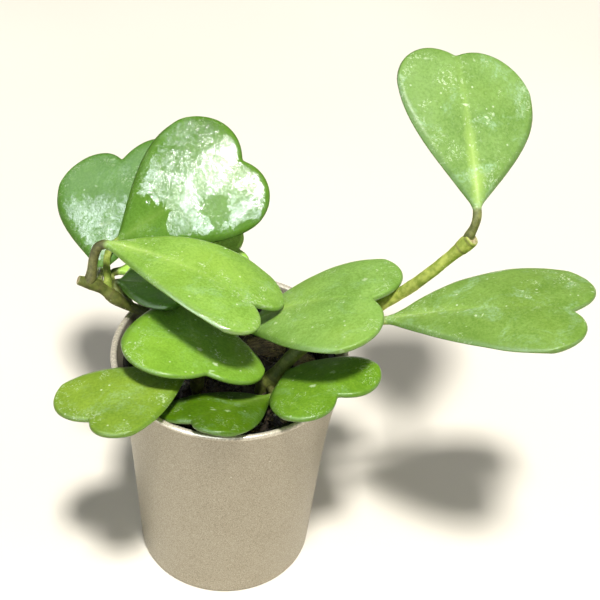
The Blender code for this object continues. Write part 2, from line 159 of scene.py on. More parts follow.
# foot: of the stalk, in the stem; base: of the blade; petiole: radius of the stalk; heading, pitch,
# roll, droop, cup, curl, twist: degrees; fullness: of the sides near the base; uneven, skew, taper:
# how far the outline departs from an even heart; sweep: how far the stalk runs on in the blade's
# line; crease, wave, margin: depth in millimetres of the midrib, the waves and the turned-down edge;
# green: linear colour; bloom_and_sheen: pale bluish clouds, partly powdery wax bloom and partly
# a painted sheen; rib: strength of the pale midrib; shine: of the bare skin; lip: of the rim; sheen,
# gloss: weight and roughness of a waxy coat, which lies between two shares of the length (waxy) but
# for islands, each a share along, millimetres across, a radius and whether it is only dotted; glaze:
# its weight elsewhere; flecks: pale scars; stalk: 0 brown to 1 green
LEAF_DEFAULTS = dict(petiole=1.7, droop=0, cup=6, curl=0, twist=0, fullness=1.5, uneven=0,
                     skew=0, sweep=0.4, taper=0, crease=0.6, wave=0.35, margin=0.6,
                     bloom_and_sheen=0.3, rib=0.12, shine=0.2, lip=0.06, sheen=0, glaze=0.10,
                     gloss=0.16, waxy=(0, 1.2), islands=(), flecks=0.5, stalk=0.5)
LEAVES = {
    "leaf_top_right": dict(
        foot=(89.5, 1.5, 178), base=(92, 5, 192), heading=101, pitch=41,
        roll=13, length=66, width=58, notch=3, droop=13, cup=4, curl=2, uneven=-0.09, skew=0.06,
        green=(0.2, 0.34, 0.085), rib=0.65, bloom_and_sheen=0.9, lip=0, sheen=0.1, glaze=0.05, gloss=0.35,
        crease=0.5, flecks=0.8, stalk=0.25),
    "leaf_far_right": dict(
        foot=(55.3, 2.4, 138.9), base=(61, -14, 149), heading=-8, pitch=26,
        roll=0, length=80, width=60, notch=8, droop=20, cup=3, curl=6, twist=-10, fullness=1.75,
        uneven=0.12, skew=0.1, green=(0.205, 0.341, 0.068),
        rib=0.25, bloom_and_sheen=0.6, lip=0.1, crease=1.0, flecks=0.9, stalk=0.8),
    "leaf_centre_right": dict(
        foot=(1, 13.5, 119), base=(4.8, 3, 122.8), petiole=1.5, heading=-8,
        pitch=49, roll=-5, length=69, width=62, notch=9, droop=43, cup=3, curl=2,
        fullness=1.6, uneven=-0.05, skew=0.06, sweep=0.2, green=(0.245, 0.414, 0.091), rib=0.35,
        crease=1.0),
    "leaf_centre_top": dict(
        foot=(-60.5, 13.3, 132.5), base=(-52.8, 16, 151.8), petiole=2.0,
        heading=-24.2, pitch=13.9, roll=0, length=77, width=56.4, notch=10.8, droop=35.7, cup=5,
        curl=5, twist=-17.7, fullness=1.7, uneven=0.19, skew=0.06, taper=0.14,
        green=(0.265, 0.447, 0.075), rib=0.4, lip=0.4, flecks=0.8, stalk=0.1),
    "leaf_back": dict(
        foot=(-53.2, 14, 127.8), base=(-51.5, 34.3, 139), petiole=1.5,
        heading=26, pitch=28, roll=37, length=66.5, width=58.5, notch=4, droop=2, cup=5, curl=3,
        twist=-8, uneven=0.08, skew=-0.02, margin=1.0, green=(0.115, 0.245, 0.030), rib=0.1,
        shine=0.03, sheen=1.0, waxy=(0.36, 1.2),
        islands=((0.63, -11.7, 6.0, False), (0.56, 15.6, 5.5, True)), flecks=0.2, stalk=0.9),
    "leaf_back_left": dict(
        foot=(-57, 14, 131), base=(-57.6, 26, 129), heading=86, pitch=26,
        roll=-14, length=59, width=55.5, notch=7, droop=-4, cup=4, curl=-5, twist=-4,
        fullness=1.7, uneven=0.05, skew=-0.24, margin=0.9, green=(0.105, 0.236, 0.036), rib=0.08,
        shine=0.08, sheen=0.8, waxy=(-0.2, 0.5), flecks=0.2),
    # leaf_back_shaded: its green is painted lighter than the other leaves', painted light that makes
    # up for the shade cast on it by leaf_back
    "leaf_back_shaded": dict(
        foot=(-44, 15, 120), base=(-52, 35, 121.6), heading=13, pitch=8.5,
        roll=4, length=56.5, width=38, notch=4, fullness=2.1, uneven=0.14, green=(0.45, 0.72, 0.135)),
    "leaf_under": dict(
        foot=(-48, 14.3, 123.4), base=(-49.2, 19.4, 129.2), petiole=1.4, heading=-4,
        pitch=5, roll=0, length=30, width=41, notch=3, cup=2, fullness=2.4, uneven=0.27,
        green=(0.187, 0.42, 0.041), sheen=0.6),
    "leaf_front_left": dict(
        foot=(-26, 15.5, 108), base=(-23, 23.5, 122.7), heading=-74, pitch=3,
        roll=-19, length=59, width=60, notch=4, droop=-5, cup=8, twist=3, fullness=1.45,
        uneven=-0.06, green=(0.223, 0.41, 0.045), crease=0.9, flecks=0.9),
    "leaf_low_left": dict(
        foot=(-13, -8, 102), base=(-15.5, -16, 116.5), heading=223,
        pitch=7, roll=9, length=53, width=48, notch=4.5, droop=12, cup=-3, twist=5,
        fullness=1.54, uneven=-0.14, skew=-0.13, green=(0.218, 0.34, 0.031), flecks=0.9, stalk=0.1),
    "leaf_low_centre": dict(
        foot=(17, -5, 101), base=(17.9, -15.4, 103), petiole=1.5, heading=225.6,
        pitch=20.8, roll=2, length=48, width=40.6, notch=4.2, droop=5, cup=4.5, curl=2,
        twist=20.7, fullness=1.53, uneven=-0.07, skew=-0.03, green=(0.092, 0.193, 0.003),
        flecks=0.2, stalk=0.2),
    "leaf_low_right": dict(
        foot=(18, -5, 103), base=(24, -5, 108), petiole=1.5, heading=-61,
        pitch=46, roll=15, length=47.5, width=48, notch=6.5, droop=44, cup=0, twist=-9,
        green=(0.157, 0.305, 0.018), flecks=0.5, stalk=0.2),
}

CHUNKS = {
    "husk_chunk_large": dict(centre=(14, 20, 97), half=(10, 6, 5), turn=20, seed=3, fibres=150),
    "husk_chunk_small": dict(centre=(31, 12, 97), half=(5, 4, 4), turn=-15, seed=8, fibres=70),
}

# azimuth 0 is in front and negative is on the left; gloss: a reflector that only shows in gloss
LIGHTS = {
    "key": dict(azimuth=9, elevation=70, distance=3.0, size=(0.37, 0.37), power=140,
                colour=(1.0, 0.985, 0.95)),
    "window_front": dict(azimuth=-40, elevation=32, distance=1.0, size=(1.4, 1.1), power=29,
                         colour=(0.86, 0.94, 1.0), gloss=True),
    "fill_right": dict(azimuth=80, elevation=16, distance=1.0, size=(0.5, 0.5), power=2.6,
                       colour=(1.0, 0.98, 0.94)),
    "window_left": dict(azimuth=-100, elevation=42, distance=1.0, size=(0.4, 0.4), power=3.4,
                        colour=(0.86, 0.94, 1.0), gloss=True),
}
LIGHT_AIM = (0, 0.02, 0.14)
WORLD_LOW = 0.12
WORLD_HIGH = 0.38
FLOOR_SIZE = 8

CAMERA_PLACE = (0.0272, -0.421, 0.516)
CAMERA_PITCH = 41.47
CAMERA_ROLL = 4.33
CAMERA_LENS = 84
CAMERA_SENSOR = 36


# ---- meshes ----

def mm(point):
    return np.array(point, dtype=float) * 0.001


def turn_out(mesh, merge=0.0):
    """Joins the points of a mesh that lie closer than merge, and turns its faces out."""
    body = bmesh.new()
    body.from_mesh(mesh)
    if merge:
        bmesh.ops.remove_doubles(body, verts=body.verts, dist=merge)
    bmesh.ops.recalc_face_normals(body, faces=body.faces)
    body.to_mesh(mesh)
    body.free()


def add_piece(name, mesh, material, node=None):
    """A smooth piece on the model's body, that may stand for a node."""
    mesh.shade_smooth()
    mesh.materials.append(material)
    piece = bpy.data.objects.new(name, mesh)
    bpy.context.collection.objects.link(piece)
    if node:
        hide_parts(node)
    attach(piece, BODY)
    return piece


def new_piece(name, vertices, faces, material, node=None, angle=180):
    """A piece made of these faces, with an edge where they meet at more than the angle."""
    mesh = bpy.data.meshes.new(name)
    mesh.from_pydata([tuple(point) for point in vertices], [], faces)
    turn_out(mesh)
    piece = add_piece(name, mesh, material, node)
    mesh.set_sharp_from_angle(angle=math.radians(angle))
    return piece


def ring_faces(rings, sides, end_cap=True):
    """Faces of a tube of rings, closed at its start and, with end_cap, at its end."""
    faces = []
    for step in range(rings - 1):
        for side in range(sides):
            after = (side + 1) % sides
            low, high = step * sides, (step + 1) * sides
            faces.append((low + side, low + after, high + after, high + side))
    faces.append(tuple(range(sides - 1, -1, -1)))
    if end_cap:
        last = (rings - 1) * sides
        faces.append(tuple(range(last, last + sides)))
    return faces


def axis_faces(rings, sides):
    """Faces of a body of rings between a first and a last point on its axis."""
    faces = []
    last = 1 + (rings - 1) * sides
    for side in range(sides):
        after = (side + 1) % sides
        faces.append((0, 1 + after, 1 + side))
        for ring in range(rings - 1):
            low, high = 1 + ring * sides, 1 + (ring + 1) * sides
            faces.append((low + side, low + after, high + after, high + side))
        faces.append((last + sides, last + side, last + after))
    return faces


def circle(radius, height, sides):
    angles = np.arange(sides) * 2 * math.pi / sides
    return [(radius * math.cos(a), radius * math.sin(a), height) for a in angles]


def turned(profile, sides):
    """Vertices and faces of a body turned about Z; the profile starts and ends on the axis."""
    vertices = [(0, 0, profile[0][1])]
    for radius, height in profile[1:-1]:
        vertices += circle(radius, height, sides)
    vertices.append((0, 0, profile[-1][1]))
    return vertices, axis_faces(len(profile) - 2, sides)


def store(mesh, name, kind, values):
    """Keeps values on the points of a mesh for its material."""
    layer = mesh.attributes.new(name, kind, "POINT")
    key = "vector" if kind == "FLOAT_VECTOR" else "value"
    layer.data.foreach_set(key, np.asarray(values, dtype=np.float32).ravel())


def roughen(points, scale, depth, seed=0.0):
    """Soft noise of about -depth to depth at each point."""
    shift = Vector((seed, seed * 1.7, -seed))
    return np.array([noise.noise(Vector(point) * scale + shift) for point in points]) * depth


# ---- materials ----

# A texture's scale is in features per metre, and a fade's limits are texture values or metres.

class Nodes:
    """Short calls that build the nodes of a tree."""

    def __init__(self, tree):
        self.tree = tree

    def link(self, value, socket):
        if isinstance(value, bpy.types.NodeSocket):
            self.tree.links.new(value, socket)
        else:
            socket.default_value = value

    def node(self, kind, inputs, **settings):
        node = self.tree.nodes.new(kind)
        for key, value in settings.items():
            setattr(node, key, value)
        for key, value in inputs.items():
            self.link(value, node.inputs[key])
        return node

    def math(self, operation, first, second=0.0, clamp=False):
        node = self.node("ShaderNodeMath", {0: first, 1: second}, operation=operation,
                         use_clamp=clamp)
        return node.outputs[0]

    def plus(self, first, second, clamp=False):
        return self.math("ADD", first, second, clamp)

    def minus(self, first, second):
        return self.math("SUBTRACT", first, second)

    def times(self, first, second):
        return self.math("MULTIPLY", first, second)

    def most(self, first, second):
        return self.math("MAXIMUM", first, second)

    def vector(self, operation, first, second):
        return self.node("ShaderNodeVectorMath", {0: first, 1: second},
                         operation=operation).outputs[0]

    def fade(self, value, low, high, start=0.0, end=1.0):
        """start where value is low, end where it is high, smoothly in between."""
        node = self.node("ShaderNodeMapRange", {"Value": value, "From Min": low, "From Max": high,
                                                "To Min": start, "To Max": end},
                         interpolation_type="SMOOTHSTEP")
        return node.outputs[0]

    def split(self, vector):
        return self.node("ShaderNodeSeparateXYZ", {0: vector}).outputs


class Paint(Nodes):
    """The nodes of a material."""

    def __init__(self, name, seed=0.0):
        self.material = bpy.data.materials.new(name)
        self.material.use_nodes = True
        super().__init__(self.material.node_tree)
        self.shader = self.tree.nodes["Principled BSDF"]
        place = self.tree.nodes.new("ShaderNodeTexCoord").outputs["Object"]
        self.place = self.vector("ADD", place, (seed, -seed, seed * 0.5))

    def stretch(self, scale, place=None):
        return self.vector("MULTIPLY", place or self.place, scale)

    def noise(self, scale, detail=2.0, roughness=0.5, place=None, distortion=0.0):
        inputs = {"Vector": place or self.place, "Scale": scale, "Detail": detail,
                  "Roughness": roughness, "Distortion": distortion}
        return self.node("ShaderNodeTexNoise", inputs).outputs[0]

    def cells(self, scale, output="Distance", place=None):
        inputs = {"Vector": place or self.place, "Scale": scale}
        return self.node("ShaderNodeTexVoronoi", inputs).outputs[output]

    def dots(self, scale, core, rim, few, fewer, channel, place=None):
        """Round dots in some of the cells; the channel of the cells' colour picks which."""
        dot = self.fade(self.cells(scale, place=place), core, rim, 1, 0)
        picked = self.split(self.cells(scale, "Color", place))[channel]
        return self.times(dot, self.fade(picked, few, fewer))

    def mix(self, share, first, second):
        return self.node("ShaderNodeMixRGB", {0: share, 1: first, 2: second}).outputs[0]

    def attribute(self, name, output="Fac"):
        return self.node("ShaderNodeAttribute", {}, attribute_name=name).outputs[output]

    def bump(self, height, depth, strength, socket):
        node = self.node("ShaderNodeBump", {"Height": height, "Strength": strength,
                                            "Distance": depth})
        self.link(node.outputs[0], self.shader.inputs[socket])

    def finish(self, colour, roughness, height, depth, strength, **fixed):
        """Links the looks to the shader; fixed values go straight on its sockets."""
        self.link(colour, self.shader.inputs["Base Color"])
        self.link(roughness, self.shader.inputs["Roughness"])
        self.bump(height, depth, strength, "Normal")
        for key, value in fixed.items():
            self.shader.inputs[key.replace("_", " ")].default_value = value
        return self.material


def rgb(red, green, blue):
    return (red, green, blue, 1.0)


def between(share, first, second):
    """The colour that lies a share of the way from the first to the second."""
    return rgb(*(a + (b - a) * share for a, b in zip(first, second)))


def tint(colour, parts):
    return rgb(*(value * part for value, part in zip(colour, parts)))


def leaf_material(name, leaf, seed):
    """Waxy leaf: finely mottled green, pale midrib, bloom with a painted sheen, scars, painted shade
    on the underside and at the rim and, on some, a cracked sheen.
    """
    p = Paint(name, seed)
    along, across, side = p.split(p.attribute("blade", "Vector"))[:3]
    edge = p.attribute("edge")
    offset = p.math("ABSOLUTE", across)

    green = leaf["green"]
    light, dark = rgb(*green), tint(green, (0.60, 0.68, 0.45))
    grain = p.noise(900, 3, 0.7)
    mottle = p.plus(p.fade(p.noise(42, 4, 0.62, distortion=0.7), 0.3, 0.7, 0.14, 0.86),
                    p.fade(grain, 0.3, 0.7, -0.40, 0.40), clamp=True)
    colour = p.mix(mottle, dark, light)
    yellow = p.fade(p.noise(24, 2, 0.5), 0.45, 0.70, 0.0, 0.30)
    colour = p.mix(yellow, colour, tint(green, (1.16, 1.05, 0.6)))
    pores = p.cells(900)
    colour = p.mix(p.fade(pores, 0.0, 0.3, 0.30, 0.0), colour, rgb(0.04, 0.12, 0.01))

    rib_width = p.fade(along, 0.0, 0.9, 0.0052, 0.0020)
    wander = p.fade(p.noise(110, 2), 0.3, 0.7, 0.6, 1.3)
    rib = p.fade(p.math("DIVIDE", offset, p.times(rib_width, wander)), 0.0, 1.0, 1, 0)
    rib = p.times(rib, p.fade(along, 0.02, 0.85, leaf["rib"], 0.15 * leaf["rib"]))
    colour = p.mix(rib, colour, rgb(0.40, 0.58, 0.12))
    core = p.fade(p.math("DIVIDE", offset, p.times(rib_width, 0.24)), 0.0, 1.0, 1, 0)
    core = p.times(core, p.fade(along, 0.05, 0.55, 0.55 * leaf["rib"], 0.0))
    colour = p.mix(core, colour, rgb(0.60, 0.74, 0.30))

    # pale bluish clouds: partly powdery wax bloom, partly a painted sheen
    cloud = p.noise(58, 4, 0.65, distortion=1.2)
    powder_and_sheen = p.times(p.fade(cloud, 0.50, 0.68), p.fade(p.noise(1000, 2), 0.3, 0.62))
    colour = p.mix(p.times(powder_and_sheen, 0.6 * leaf["bloom_and_sheen"]), colour, rgb(0.42, 0.62, 0.42))

    flake = p.noise(420, 4, 0.75, distortion=2.2)
    near_margin = p.times(p.fade(edge, 0.002, 0.008, 1, 0), p.fade(p.noise(75, 1), 0.52, 0.58))
    zone = p.most(p.fade(p.noise(78, 2), 0.60, 0.64), near_margin)
    flakes = p.times(p.fade(flake, 0.555, 0.60), zone)
    slanted = p.vector("ADD", p.stretch((1.0, 0.55, 0.8)), p.stretch((0.35, -0.2, 0.1)))
    scratch = p.noise(420, 1.5, 0.5, place=p.stretch((0.14, 1.4, 1.0), slanted))
    scratch = p.times(p.fade(scratch, 0.68, 0.73), p.fade(p.noise(120, 1), 0.56, 0.60))
    spots = p.dots(330, 0.08, 0.20, 0.80, 0.82, 0)
    disc = p.plus(p.cells(105), p.fade(p.noise(900, 2), 0.3, 0.7, -0.05, 0.05))
    disc = p.times(p.fade(disc, 0.08, 0.15, 1, 0),
                   p.fade(p.split(p.cells(105, "Color"))[2], 0.80, 0.81))
    scars = p.most(p.most(scratch, spots), p.most(flakes, disc))
    near_rib = p.times(p.fade(offset, 0.001, 0.007, 0.8 * leaf["rib"], 0.0),
                       p.fade(p.noise(500, 3, 0.7), 0.58, 0.64))
    scars = p.most(scars, near_rib)
    scars = p.times(scars, p.fade(grain, 0.25, 0.55, 0.45, 1.0))
    colour = p.mix(p.times(scars, 0.2 + 0.55 * leaf["flecks"]), colour, rgb(0.68, 0.80, 0.54))

    # painted shade: the underside is painted darker
    under = p.fade(side, -0.4, 0.4, 1, 0)
    colour = p.mix(p.times(under, 0.5), colour, rgb(0.14, 0.25, 0.05))
    # painted shade: darker towards the rim, with a thin dark line along it where the rim turns away
    colour = p.mix(p.fade(edge, 0.0005, 0.0070, 0.35, 0.0), colour, dark)
    colour = p.mix(p.fade(edge, 0.0001, 0.0010, 0.45, 0.0), colour, rgb(0.05, 0.11, 0.015))
    stalk_dark = between(leaf["stalk"], (0.060, 0.055, 0.020), (0.17, 0.23, 0.035))
    stalk_light = between(leaf["stalk"], (0.16, 0.15, 0.055), (0.36, 0.44, 0.10))
    bark = p.mix(p.fade(p.noise(300, 4, 0.7), 0.38, 0.66), stalk_dark, stalk_light)
    colour = p.mix(p.fade(along, -0.015, 0.03, 1, 0), colour, bark)

    height = p.plus(p.times(p.noise(240, 3, 0.6), 0.6), p.times(grain, 0.22))
    rough = p.minus(0.52, p.fade(edge, 0.0004, 0.0018, 0.20, 0.0))
    rough = p.minus(rough, p.times(powder_and_sheen, 0.10 * leaf["bloom_and_sheen"]))
    rough = p.most(rough, p.times(scars, 0.5))
    waxy_coat(p, leaf, along, across, edge)
    return p.finish(colour, rough, height, depth=0.0006, strength=0.34 - 0.2 * leaf["sheen"],
                    Subsurface_Weight=0.08, Subsurface_Radius=(0.25, 0.6, 0.08),
                    Subsurface_Scale=0.003, Specular_IOR_Level=leaf["shine"])


def waxy_coat(p, leaf, along, across, edge):
    """A cracked waxy sheen over part of the leaf, with flaked-off islands and small pits, a thinner
    one over the rest but for its base, and a shiny rim."""
    weight = p.times(p.fade(edge, 0.0010, 0.0026, leaf["lip"], 0.0),
                     p.fade(along, 0.40, 0.70, 0.08, 1.0))
    crackle = p.noise(430, 5, 0.72, distortion=2.5)
    if leaf["sheen"]:
        start, end = leaf["waxy"]
        offset = p.math("ABSOLUTE", across)
        ragged = p.noise(170, 4, 0.7, distortion=1.5)
        slip = p.fade(ragged, 0.3, 0.7, -0.05, 0.05)
        reach = p.plus(p.plus(along, p.times(offset, 6.0)), slip)
        begun = p.fade(reach, start, start + 0.03)
        waxy = p.times(begun, p.fade(p.plus(along, slip), end, end + 0.15, 1, 0))
        rim = p.plus(edge, p.fade(ragged, 0.3, 0.7, -0.0016, 0.0016))
        waxy = p.times(waxy, p.fade(rim, 0.0018, 0.0032))
        waxy = p.times(waxy, p.fade(p.noise(70, 4, 0.62, distortion=1.4), 0.33, 0.345))
        for centre_along, centre_across, radius, dotted in leaf["islands"]:
            far_along = p.times(p.minus(along, centre_along), leaf["length"])
            far_across = p.minus(p.times(across, 1000.0), centre_across)
            far = p.math("SQRT", p.plus(p.times(far_along, far_along),
                                        p.times(far_across, far_across)))
            far = p.plus(far, p.fade(ragged, 0.3, 0.7, -2.5, 2.5))
            gone = p.fade(far, radius, radius + 0.3, 1, 0)
            if dotted:
                gone = p.times(gone, p.fade(p.cells(520), 0.30, 0.38, 1, 0))
            waxy = p.times(waxy, p.fade(gone, 0.0, 1.0, 1, 0))
        lines = p.math("ABSOLUTE", p.minus(p.noise(150, 5, 0.75, distortion=1.0), 0.5))
        waxy = p.times(waxy, p.fade(lines, 0.0, 0.008, 0.45, 1.0))
        waxy = p.times(waxy, p.fade(p.noise(85, 5, 0.72, distortion=1.2), 0.42, 0.56, 0.36, 1.0))
        waxy = p.times(waxy, p.fade(crackle, 0.40, 0.50, 0.35, 1.0))
        thin = p.times(begun, p.fade(edge, 0.0015, 0.004, 0.0, leaf["glaze"]))
        waxy = p.most(p.times(waxy, leaf["sheen"]), thin)
        weight = p.most(waxy, weight)
    p.bump(p.plus(crackle, p.noise(110, 2)), 0.0004, 0.35, "Coat Normal")
    p.link(weight, p.shader.inputs["Coat Weight"])
    p.shader.inputs["Coat Roughness"].default_value = leaf["gloss"]
    p.shader.inputs["Coat IOR"].default_value = 2.4


def stem_material(name, stem, seed):
    """Bark that turns from brown below to yellow-green above, with rings and small pores."""
    p = Paint(name, seed)
    along, ring, cut = p.split(p.attribute("stem", "Vector"))[:3]
    low, high = stem["green"]
    growth = p.fade(along, 0.15, 0.85, low, high)
    growth = p.plus(growth, p.fade(p.noise(180, 3, 0.6), 0.3, 0.7, -0.08, 0.08), clamp=True)
    brown = p.mix(p.fade(p.noise(420, 4, 0.7), 0.35, 0.65), rgb(0.020, 0.024, 0.006),
                  rgb(0.070, 0.070, 0.018))
    green = p.mix(p.fade(p.noise(350, 3, 0.6), 0.35, 0.7), rgb(0.24, 0.31, 0.040),
                  rgb(0.44, 0.50, 0.10))
    colour = p.mix(growth, brown, green)
    pores = p.dots(700, 0.12, 0.2, 0.7, 0.75, 1, p.stretch((1, 1, 0.6)))
    colour = p.mix(p.times(pores, 0.6), colour, rgb(0.62, 0.58, 0.36))
    colour = p.mix(p.times(ring, 0.6), colour, rgb(0.09, 0.075, 0.03))
    heart = p.mix(p.fade(p.noise(900, 2), 0.4, 0.6), rgb(0.30, 0.24, 0.11), rgb(0.47, 0.42, 0.24))
    colour = p.mix(cut, colour, heart)
    height = p.plus(p.noise(800, 4, 0.7), p.times(pores, 0.5))
    return p.finish(colour, p.fade(p.noise(300, 2), 0.3, 0.7, 0.48, 0.66), height,
                    depth=0.0006, strength=0.5, Specular_IOR_Level=0.15)


def pot_material():
    """Sand-coloured coat with a fine metallic speckle, dark and pale specks and a glossy rim whose
    paler colour is a painted highlight.
    """
    p = Paint("cover_pot_coat")
    flake = p.fade(p.noise(2400, 2, 0.8), 0.32, 0.68)
    colour = p.mix(flake, rgb(0.195, 0.163, 0.108), rgb(0.43, 0.385, 0.292))
    cloud = p.fade(p.noise(45, 3, 0.6), 0.35, 0.65)
    colour = p.mix(p.times(cloud, 0.07), colour, rgb(0.50, 0.46, 0.37))
    dark_dot = p.dots(900, 0.12, 0.25, 0.6, 0.7, 1)
    colour = p.mix(p.times(dark_dot, 0.5), colour, rgb(0.15, 0.11, 0.06))
    dot = p.dots(260, 0.07, 0.12, 0.93, 0.94, 2)
    colour = p.mix(p.times(dot, 0.6), colour, rgb(0.80, 0.76, 0.66))
    rim = p.fade(p.split(p.place)[2], *(POT_HEIGHT - depth for depth in RIM_BAND))
    # painted highlight: the rim's colour is paler
    colour = p.mix(p.times(rim, 0.6), colour, rgb(0.70, 0.64, 0.53))
    roughness = p.minus(p.fade(p.noise(900, 3, 0.6), 0.3, 0.7, 0.38, 0.50), p.times(rim, 0.18))
    return p.finish(colour, roughness, p.noise(2200, 2, 0.6), depth=0.0002, strength=0.35,
                    Metallic=0.3)


def plastic_material():
    """Black injection-moulded plastic, with dust and faint scuffs."""
    p = Paint("nursery_pot_plastic")
    dust = p.times(p.fade(p.noise(500, 4, 0.75), 0.56, 0.70), p.fade(p.noise(60, 2), 0.45, 0.6))
    colour = p.mix(p.times(dust, 0.5), rgb(0.010, 0.010, 0.010), rgb(0.10, 0.085, 0.06))
    roughness = p.mix(dust, rgb(0.22, 0.22, 0.22), rgb(0.7, 0.7, 0.7))
    return p.finish(colour, roughness, p.noise(300, 2), depth=0.0003, strength=0.15)


def soil_material():
    p = Paint("soil_peat")
    colour = p.mix(p.fade(p.noise(900, 5, 0.8), 0.35, 0.65), rgb(0.012, 0.008, 0.004),
                   rgb(0.075, 0.050, 0.026))
    colour = p.mix(p.fade(p.noise(220, 3, 0.7), 0.52, 0.62, 0.0, 0.45), colour,
                   rgb(0.12, 0.085, 0.045))
    return p.finish(colour, 0.9, p.noise(1500, 5, 0.8), depth=0.0012, strength=1.0)


def husk_material(seed):
    """Coir: lengthwise fibres in several browns."""
    p = Paint(f"husk_coir_{seed}", seed)
    strands = p.noise(900, 3, 0.6, place=p.stretch((0.12, 1.0, 1.0)))
    colour = p.mix(p.fade(strands, 0.35, 0.62), rgb(0.090, 0.062, 0.026), rgb(0.46, 0.34, 0.16))
    colour = p.mix(p.fade(p.noise(140, 3), 0.4, 0.65, 0.0, 0.4), colour, rgb(0.20, 0.15, 0.07))
    return p.finish(colour, 0.85, strands, depth=0.001, strength=0.9)


def crumb_material(name, dark, light):
    p = Paint(name)
    colour = p.mix(p.fade(p.noise(700, 3, 0.7), 0.35, 0.65), rgb(*dark), rgb(*light))
    return p.finish(colour, 0.85, p.noise(1800, 3, 0.7), depth=0.0005, strength=0.7)


# ---- pots ----

def pot_radius(height):
    flare = POT_FLARE * (height / POT_HEIGHT) ** POT_FLARE_POWER
    return POT_FOOT_RADIUS + POT_TAPER * height + flare


def arc(centre, radius, start, end, steps):
    angles = np.radians(np.linspace(start, end, steps + 1))
    return [(centre[0] + radius * math.cos(a), centre[1] + radius * math.sin(a)) for a in angles]


def make_cover_pot():
    lip = POT_WALL / 2
    crest = POT_HEIGHT - lip
    foot_centre = (pot_radius(0) - POT_FOOT_ROUND, POT_FOOT_ROUND)
    heights = np.linspace(0.002, crest, POT_RINGS)
    profile = [(0, 0), (POT_FOOT_RADIUS - 0.004, 0)]
    profile += arc(foot_centre, POT_FOOT_ROUND, -90, 0, 6)
    profile += [(pot_radius(height), height) for height in heights]
    profile += arc((pot_radius(crest) - lip, crest), lip, 8, 172, 14)
    profile += [(pot_radius(height) - POT_WALL, height) for height in heights[:4:-1]]
    profile += [(POT_FLOOR_RADIUS + 0.001, POT_FLOOR + 0.0008), (POT_FLOOR_RADIUS, POT_FLOOR)]
    profile += [(0, POT_FLOOR)]
    vertices, faces = turned(profile, POT_SIDES)
    new_piece("cover_pot_body", vertices, faces, pot_material(), "cover_pot", 50)


def nursery_radius(height):
    gain = NURSERY_BODY_RADIUS - NURSERY_FOOT_RADIUS
    return NURSERY_FOOT_RADIUS + gain * height / NURSERY_HEIGHT


def make_nursery_pot():
    """Thin pot with a rolled lip and drain holes."""
    foot, wall = NURSERY_FOOT, NURSERY_WALL
    top = foot + NURSERY_HEIGHT
    under = NURSERY_HEIGHT - NURSERY_LIP_HEIGHT
    heights = np.linspace(0.002, under, 24)
    profile = [(0, foot), (NURSERY_FOOT_RADIUS - 0.001, foot)]
    profile += arc((NURSERY_FOOT_RADIUS - 0.001, foot + 0.001), 0.001, -80, 0, 4)
    profile += [(nursery_radius(height), foot + height) for height in heights]
    profile += arc((NURSERY_LIP_RADIUS - 0.0006, foot + under + 0.0012), 0.0006, -90, 0, 4)
    profile += arc((NURSERY_LIP_RADIUS - 0.0009, top - 0.0009), 0.0009, 0, 90, 6)
    profile += arc((NURSERY_LIP_RADIUS - 0.0024, top - 0.0009), 0.0009, 90, 165, 5)
    profile += [(nursery_radius(under) - wall + 0.0002, foot + under + 0.0006)]
    profile += [(nursery_radius(height) - wall, foot + height) for height in heights[::-1]]
    profile += [(NURSERY_FOOT_RADIUS - 2 * wall, foot + wall), (0, foot + wall)]
    vertices, faces = turned(profile, NURSERY_SIDES)
    pot = new_piece("nursery_pot_body", vertices, faces, plastic_material(),
                    "nursery_pot", 50)
    for hole in range(DRAIN_HOLES):
        angle = 2 * math.pi * hole / DRAIN_HOLES + math.radians(DRAIN_RING_TURN)
        bpy.ops.mesh.primitive_cylinder_add(
            vertices=32, radius=DRAIN_HOLE_RADIUS, depth=0.006,
            location=(DRAIN_RING_RADIUS * math.cos(angle), DRAIN_RING_RADIUS * math.sin(angle),
                      foot + wall / 2))
        drill = bpy.context.object
        modifier = pot.modifiers.new("drill", "BOOLEAN")
        modifier.operation = "DIFFERENCE"
        modifier.solver = "EXACT"
        modifier.object = drill
        bpy.context.view_layer.objects.active = pot
        bpy.ops.object.modifier_apply(modifier=modifier.name)
        bpy.data.objects.remove(drill, do_unlink=True)


# ---- stems ----

def smooth_path(points, step):
    """A Catmull-Rom curve through the points, read off at about even steps."""
    points = [mm(point) for point in points]
    padded = [2 * points[0] - points[1]] + points + [2 * points[-1] - points[-2]]
    path = []
    for before, start, end, after in zip(padded, padded[1:], padded[2:], padded[3:]):
        count = max(1, round(float(np.linalg.norm(end - start)) / step))
        for index in range(count):
            t = index / count
            path.append(0.5 * (2 * start + (end - before) * t
                               + (2 * before - 5 * start + 4 * end - after) * t ** 2
                               + (3 * start - before - 3 * end + after) * t ** 3))
    path.append(points[-1])
    return np.array(path)


def path_frames(path, side=None, tangents=None):
    """Two directions square to the path at each of its points, turning as little as they can."""
    if tangents is None:
        tangents = np.gradient(path, axis=0)
    side = np.cross(tangents[0], (0.0, 1.0, 0.0)) if side is None else side
    frames = []
    for tangent in tangents:
        tangent = tangent / np.linalg.norm(tangent)
        side = side - tangent * side.dot(tangent)
        side = side / np.linalg.norm(side)
        frames.append((side, np.cross(tangent, side)))
    return frames


def ring_ways(frame, sides):
    """Directions square to a path, evenly all the way round."""
    side, up = frame
    angles = (2 * math.pi * step / sides for step in range(sides))
    return [math.cos(angle) * side + math.sin(angle) * up for angle in angles]


